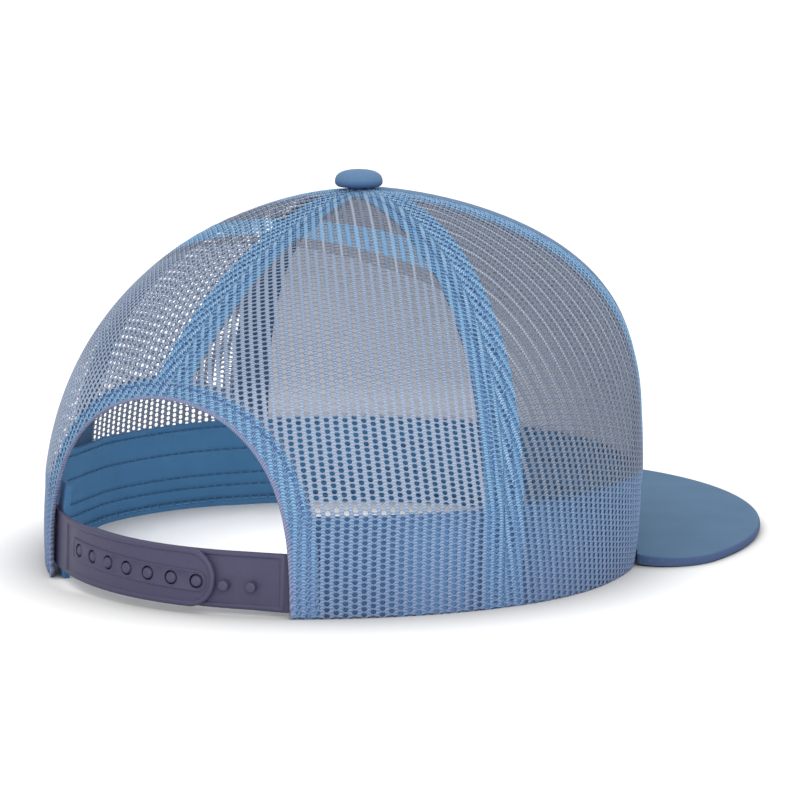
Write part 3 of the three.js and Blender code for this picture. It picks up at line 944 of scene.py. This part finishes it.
def disc(x, radius, low, high, dome=0):
    bpy.ops.object.select_all(action="DESELECT")
    bpy.ops.mesh.primitive_cylinder_add(
        vertices=28, radius=radius, depth=high - low, location=(x, row_rise(x), (low + high) / 2)
    )
    piece = bpy.context.object
    bpy.ops.object.transform_apply(location=True, rotation=False, scale=False)
    if dome:
        for edge in piece.data.edges:
            edge.select = all(abs(piece.data.vertices[v].co.z - high) < 0.001 for v in edge.vertices)
        for vertex in piece.data.vertices:
            vertex.select = False
        for face in piece.data.polygons:
            face.select = False
        bpy.context.tool_settings.mesh_select_mode = (False, True, False)
        bpy.ops.object.mode_set(mode="EDIT")
        bpy.ops.mesh.bevel(offset=dome, segments=4, affect="EDGES")
        bpy.ops.object.mode_set(mode="OBJECT")
        bpy.context.tool_settings.mesh_select_mode = (True, False, False)
    return piece


def strap_place(depth_at):
    def place(x, y, z):
        lift = strap_right_lift + (strap_left_lift - strap_right_lift) * (x + tucked_end) / (2 * tucked_end)
        rise = (lift + strap_height / 2 + strap_seat + y) / crown_height
        return crown_point(x / strap_reach, rise, depth_at(x) - z)

    return place


plastic, start = start_finish("strap plastic")
at = start.node("TexCoord", take=3)
grain = start.node("TexNoise", None, {"Vector": at, "Scale": 900, "Detail": 2})
tone = start.mix(grain, tinted(77, 74, 104), tinted(85, 83, 115))
end_finish(plastic, tone, 0.5, grain, 0.1, 0.0001, specular_ior_level=0.35)

strap_holes = strap_plate("strap_with_holes", tucked_end, 38.5, holes_end)
frame_bar = box_prism(
    (holes[6] - 3.1, -3.1, -1), (holes[0] + 4.2, 3.1, -0.2), 2.9, [holes[6] - 3.1], 10
)
bpy.context.tool_settings.mesh_select_mode = (False, False, True)
for face in frame_bar.data.polygons:
    face.select = face.normal.z > 0.9
bpy.ops.object.mode_set(mode="EDIT")
bpy.ops.mesh.inset(thickness=0.12, depth=0.1)
bpy.ops.mesh.inset(thickness=0.35, depth=0)
bpy.ops.mesh.inset(thickness=0.1, depth=-0.12)
bpy.ops.object.mode_set(mode="OBJECT")
bpy.context.tool_settings.mesh_select_mode = (True, False, False)
slice_across(frame_bar, holes[6] - 3.1, holes[0] + 4.2, 3)
for vertex in frame_bar.data.vertices:
    vertex.co.y += row_rise(vertex.co.x)
combine(strap_holes, frame_bar, "UNION")
for hole in holes:
    combine(strap_holes, disc(hole, hole_diameter / 2, -4, 2), "DIFFERENCE")
slice_across(strap_holes, holes_end, tucked_end, 3)
drape(strap_holes, strap_place(lambda x: np.full_like(x, lining_depth)))
tidy(strap_holes, 50, 1e-6)


def pegs_depth(x):
    eased = ease(x, strap_tuck - tucked_end, holes_end - column_angle * crown_back_length)
    return lining_depth + (peg_strap_depth - lining_depth) * eased


strap_pegs = strap_plate("strap_with_pegs", -tucked_end, -47.5, pegs_end)
for peg in pegs:
    combine(strap_pegs, disc(peg, peg_diameter / 2, -1, strap_thickness + 0.9, 0.7), "UNION")
for stub in holes[:2]:
    combine(strap_pegs, disc(stub, peg_diameter / 2, -1, strap_thickness + 0.1, 0.7), "UNION")
slice_across(strap_pegs, -tucked_end, pegs_end, 3)
drape(strap_pegs, strap_place(pegs_depth))
tidy(strap_pegs, 50, 1e-6)
for strap, name in ((strap_holes, "strap_holes"), (strap_pegs, "strap_pegs")):
    strap.data.materials.append(plastic)
    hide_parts(name)
    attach(strap, "root")


# Peak
# A stiff board cut to a rounded outline, covered above and below with one cotton cloth that is
# pulled tight and turned round its edge.

peak_half_width = 102.8
peak_length = 72.3
peak_widest_ahead = 58
peak_corner_depth = 20
peak_corner_width = 2.7
peak_end = math.radians(114)
peak_thickness = 3
peak_arch = 2
corner_share = 0.22
clearance = 0.3


def peak_outline(share):
    side = np.sign(0.5 - share)
    from_corner = np.minimum(share, 1 - share) * 2
    corner = float(crown_surface(np.array(peak_end), np.array(0.0))[0]) + clearance + peak_corner_width
    turn = math.pi / 2 * np.clip(1 - from_corner / corner_share, 0, 1)
    corner_x = corner + (peak_half_width - corner) * np.cos(turn)
    corner_y = peak_corner_depth * np.sin(turn) - peak_widest_ahead
    turn = math.pi / 2 * np.clip((from_corner - corner_share) / (1 - corner_share), 0, 1)
    ahead = crown_front_length + peak_length - peak_widest_ahead
    front_x = peak_half_width * np.cos(turn)
    front_y = -peak_widest_ahead - ahead * np.sin(turn)
    is_corner = from_corner < corner_share
    return side * np.where(is_corner, corner_x, front_x), np.where(is_corner, corner_y, front_y)


def peak_place(x, y, z):
    share = x / 240 + 0.5
    heading = peak_end + (2 * math.pi - 2 * peak_end) * share
    tucked = 0.9 * (1 - ease(np.minimum(share, 1 - share), 0.04, 0.09)) - clearance
    wall = crown_point(heading, np.full_like(heading, (peak_arch + peak_thickness) / crown_height), tucked)
    edge_x, edge_y = peak_outline(share)
    out = y / peak_length
    along = wall[:, 0] + (edge_x - wall[:, 0]) * out
    back = wall[:, 1] + (edge_y - wall[:, 1]) * out
    height = peak_arch * (1 - (along / peak_half_width) ** 2) + peak_thickness + z
    return np.stack([along, back, height], -1)


peak = flat_sheet("peak_board", (-120, 0), (120, peak_length), (120, 24), peak_thickness)
bpy.ops.object.mode_set(mode="EDIT")
bpy.ops.mesh.select_all(action="DESELECT")
bpy.ops.object.mode_set(mode="OBJECT")
for edge in peak.data.edges:
    ends = [peak.data.vertices[v].co for v in edge.vertices]
    edge.select = all(abs(end.y - peak_length) < 0.01 for end in ends) and abs(ends[0].z - ends[1].z) < 0.01
bpy.ops.object.mode_set(mode="EDIT")
bpy.ops.mesh.bevel(offset=1.35, segments=4, affect="EDGES")
bpy.ops.object.mode_set(mode="OBJECT")
drape(peak, peak_place)
tidy(peak, 60)
peak_cloth, start = start_finish("peak cloth")
at = start.node("TexCoord", take=3)
laid = start.node("UVMap", {"uv_map": "cloth"})
out = laid.part(1)
aside = laid.part(0).size()
# Along the peak's outer edge and ends the cloth is mixed toward a darker lavender: painted shade on the
# turned edge.
edge = start.math("MAXIMUM", (out - 71.3) / 0.8, (aside - 119.4) / 0.5)
weave = start.node("TexNoise", None, {"Vector": at, "Scale": 2500, "Detail": 2})
clouds = start.node("TexNoise", None, {"Vector": at, "Scale": 60, "Detail": 3})
pilling = start.node("TexNoise", None, {"Vector": at, "Scale": 700, "Detail": 1}) > 0.68
tone = start.mix(clouds, tinted(88, 122, 156), tinted(100, 136, 168))
tone = start.mix(edge.clamped(), tone, tinted(84, 104, 146))
tone = start.mix(pilling * 0.15, tone, tinted(120, 150, 180))
end_finish(peak_cloth, tone, 0.9, weave + pilling * 0.5, 0.3, 0.00015, specular_ior_level=0.2)
peak.data.materials.append(peak_cloth)
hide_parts("peak")
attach(peak, "root")


# Button
# A tinned steel cap covered with the peak's cloth, which is gathered under its skirt. It closes the
# point where the five panels meet.

button_low, button_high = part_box("button")
button_top = button_high[2] * 1000
button_middle = [(low + high) / 2 for low, high in zip(button_low, button_high)]

# Radius, and depth under the top, of the rings round the button
button_rings = (
    (0, 0), (1.2, 0.03), (2.6, 0.14), (4, 0.38), (5.3, 0.78), (6.3, 1.35), (7, 2.05), (7.38, 2.9),
    (7.48, 3.8), (7.3, 4.6), (6.85, 5.15), (6.2, 5.5), (5.2, 5.7), (2.15, 5.75), (2.15, 9.5), (0, 9.5),
)
bpy.ops.object.select_all(action="DESELECT")
bpy.ops.mesh.primitive_circle_add(vertices=72, radius=1)
button = bpy.context.object
button.name = "button_covered"
bpy.ops.object.mode_set(mode="EDIT")
bpy.ops.mesh.select_all(action="SELECT")
for _ in button_rings[1:]:
    bpy.ops.mesh.extrude_edges_move(TRANSFORM_OT_translate={"value": (0, 0, -1)})
bpy.ops.object.mode_set(mode="OBJECT")
for vertex in button.data.vertices:
    radius, depth = button_rings[round(-vertex.co.z)]
    angle = math.atan2(vertex.co.y, vertex.co.x)
    gathers = 1 + 0.012 * math.sin(24 * angle) * max(0, min(1, (depth - 3.4) / 1.5)) * (radius > 3)
    vertex.co = (
        button_middle[0] + math.cos(angle) * radius * gathers / 1000,
        button_middle[1] + math.sin(angle) * radius * gathers / 1000,
        (button_top - depth) / 1000,
    )
tidy(button, 60, 1e-7)
button_cloth, start = start_finish("button cloth")
at = start.node("TexCoord", take=3)
height = at.part(2)
weave = start.node("TexNoise", None, {"Vector": at, "Scale": 2500, "Detail": 2})
tone = start.mix(weave, tinted(84, 122, 166), tinted(112, 152, 192))
# The lower part of the dome, where it turns under, is mixed toward a darker blue: painted shade.
painted_skirt_shade = ((button_top / 1000 - 0.0032 - height) / 0.002).clamped()
tone = start.mix(painted_skirt_shade * 0.7, tone, tinted(52, 92, 152))
end_finish(button_cloth, tone, 0.85, weave, 0.3, 0.00015)
button.data.materials.append(button_cloth)
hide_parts("button")
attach(button, "root")


# Floor, lights and camera
# A white table top with a painted contact shadow round the cap, under an even white studio light, with a
# lens as long as the photograph's.

bpy.ops.object.select_all(action="DESELECT")
bpy.ops.mesh.primitive_plane_add(size=6, location=(0, 0, 0))
floor = bpy.context.object
floor.name = "floor"
floor_paint, start = start_finish("floor")
# The floor's colour darkens where the cap hides it from the open sky: a painted contact shadow.
unshadowed_share = start.node("AmbientOcclusion", {"samples": 12}, {"Distance": 0.026}, 1)
tone = start.mix(unshadowed_share, (0.2, 0.195, 0.19), (0.86, 0.86, 0.86))
end_finish(floor_paint, tone, 1, specular_ior_level=0)
floor.data.materials.append(floor_paint)

azimuth = math.radians(216.56)
elevation = math.radians(8.38)
world = bpy.data.worlds.new("studio")
world.use_nodes = True
sky = Signal(world.node_tree)
towards = sky.node("TexCoord")
sideways = (math.cos(azimuth), math.sin(azimuth), 0)
aside = sky.node("VectorMath", {"operation": "DOT_PRODUCT"}, {0: towards, 1: sideways}, 1)
level = towards.part(2).size()
flags = (aside.size() * 1.6 - 0.5).clamped() * (1 - level)
background = world.node_tree.nodes["Background"]
background.inputs["Color"].default_value = (1, 1, 1, 1)
world.node_tree.links.new((1.5 - flags * (0.95 + 0.3 * (aside < 0))).socket, background.inputs["Strength"])
bpy.context.scene.world = world
bpy.context.scene.view_settings.view_transform = "Standard"

right = Vector((math.cos(azimuth), math.sin(azimuth), 0))
back = Vector((
    math.sin(azimuth) * math.cos(elevation),
    -math.cos(azimuth) * math.cos(elevation),
    math.sin(elevation),
))
target = right * 0.01905 + Vector((0, rim_middle_back / 1000, 0.04832))
camera_data = bpy.data.cameras.new("camera")
camera_data.lens = 114.93
camera_data.clip_end = 20
camera = bpy.data.objects.new("camera", camera_data)
bpy.context.scene.collection.objects.link(camera)
turn = Matrix((right, back.cross(right), back)).transposed()
camera.matrix_world = Matrix.Translation(target + back * 0.79835) @ turn.to_4x4()
bpy.context.scene.camera = camera

softbox_data = bpy.data.lights.new("front softbox", "AREA")
softbox_data.shape = "DISK"
softbox_data.size = 0.9
softbox_data.energy = 8
softbox = bpy.data.objects.new("front softbox", softbox_data)
bpy.context.scene.collection.objects.link(softbox)
softbox_place = target + back * 1.6 + Vector((0, 0, 0.35)) + right * 0.1
softbox_turn = (softbox_place - target).to_track_quat("Z", "Y").to_matrix().to_4x4()
softbox.matrix_world = Matrix.Translation(softbox_place) @ softbox_turn

fill_data = bpy.data.lights.new("light from inside", "AREA")
fill_data.shape = "DISK"
fill_data.size = 0.05
fill_data.energy = 0.07
fill = bpy.data.objects.new("light from inside", fill_data)
fill.location = (-0.005, 0.03, 0.074)
fill.rotation_euler = (0, math.radians(-28), 0)
fill.visible_camera = False
bpy.context.scene.collection.objects.link(fill)
